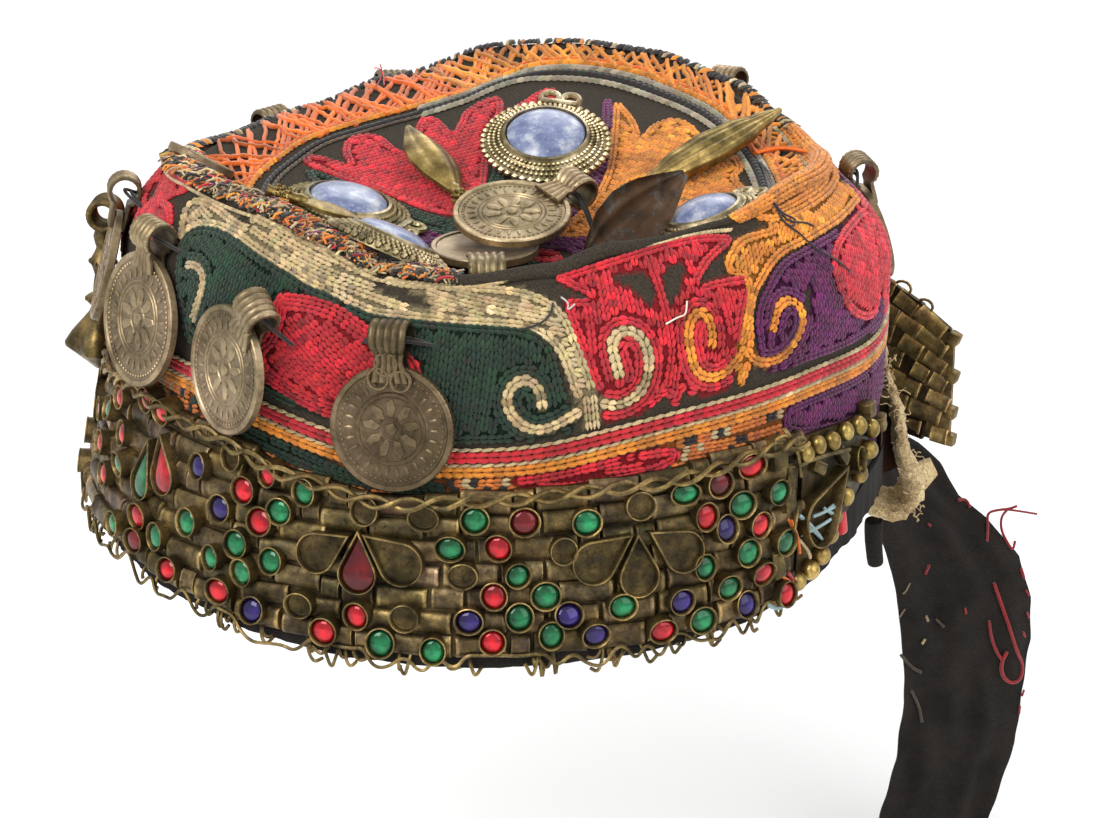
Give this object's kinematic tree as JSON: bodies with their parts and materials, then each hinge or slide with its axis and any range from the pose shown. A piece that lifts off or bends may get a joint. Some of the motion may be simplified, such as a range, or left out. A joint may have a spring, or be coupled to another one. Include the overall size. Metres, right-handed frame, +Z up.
{
  "type": "embroidered cap with a woven metal brow band",
  "caption": "Round embroidered cloth cap with a sunken crown, glass-set brass brow band, coin and stone pendants and a black cloth tail.",
  "frame": {"origin": "centre of the head opening at the brow line, where a head holds the cap", "axes": "+Z up out of the crown, -Y the front, +X the side with the clasp and the tail"},
  "size_m": [0.2526, 0.2042, 0.2224],
  "materials": {
    "embroidered_cloth": "thick wool chain stitch over charcoal cloth",
    "crown_cloth": "wool chain stitch and crossed orange threads",
    "black_cloth": "plain black cotton",
    "aged_brass": "dark, worn bright on the edges",
    "nickel": "dull grey, worn",
    "lapis": "polished opaque blue stone",
    "raw_cotton": "undyed, frayed"
  },
  "bodies": {
    "root": {"cap_wall": "embroidered_cloth", "crown": "crown_cloth", "brow_hem": "black_cloth", "link_band_front": "aged_brass", "link_band_back": "aged_brass", "clasp_end": "aged_brass", "edge_wire": "aged_brass", "coin_left": "nickel", "coin_left_side": "nickel", "coin_front_left": "nickel", "coin_front": "nickel", "coin_back_a": "nickel", "coin_back_b": "nickel", "coin_back_c": "nickel", "coin_side_right": "nickel", "coin_crown": "nickel", "coin_crown_plain": "nickel", "coin_rim": "nickel", "medallion_back": "nickel", "medallion_left": "nickel", "medallion_front": "nickel", "medallion_right": "nickel", "medallion_back_stone": "lapis", "medallion_left_stone": "lapis", "medallion_front_stone": "lapis", "medallion_right_stone": "lapis", "leaf_left": "aged_brass", "leaf_right": "aged_brass", "leaf_front": "aged_brass", "leaf_rim": "aged_brass", "bud_drop": "aged_brass", "cotton_pocket": "raw_cotton", "cloth_tail": "black_cloth", "tie_end": "black_cloth"}
  },
  "joints": []
}
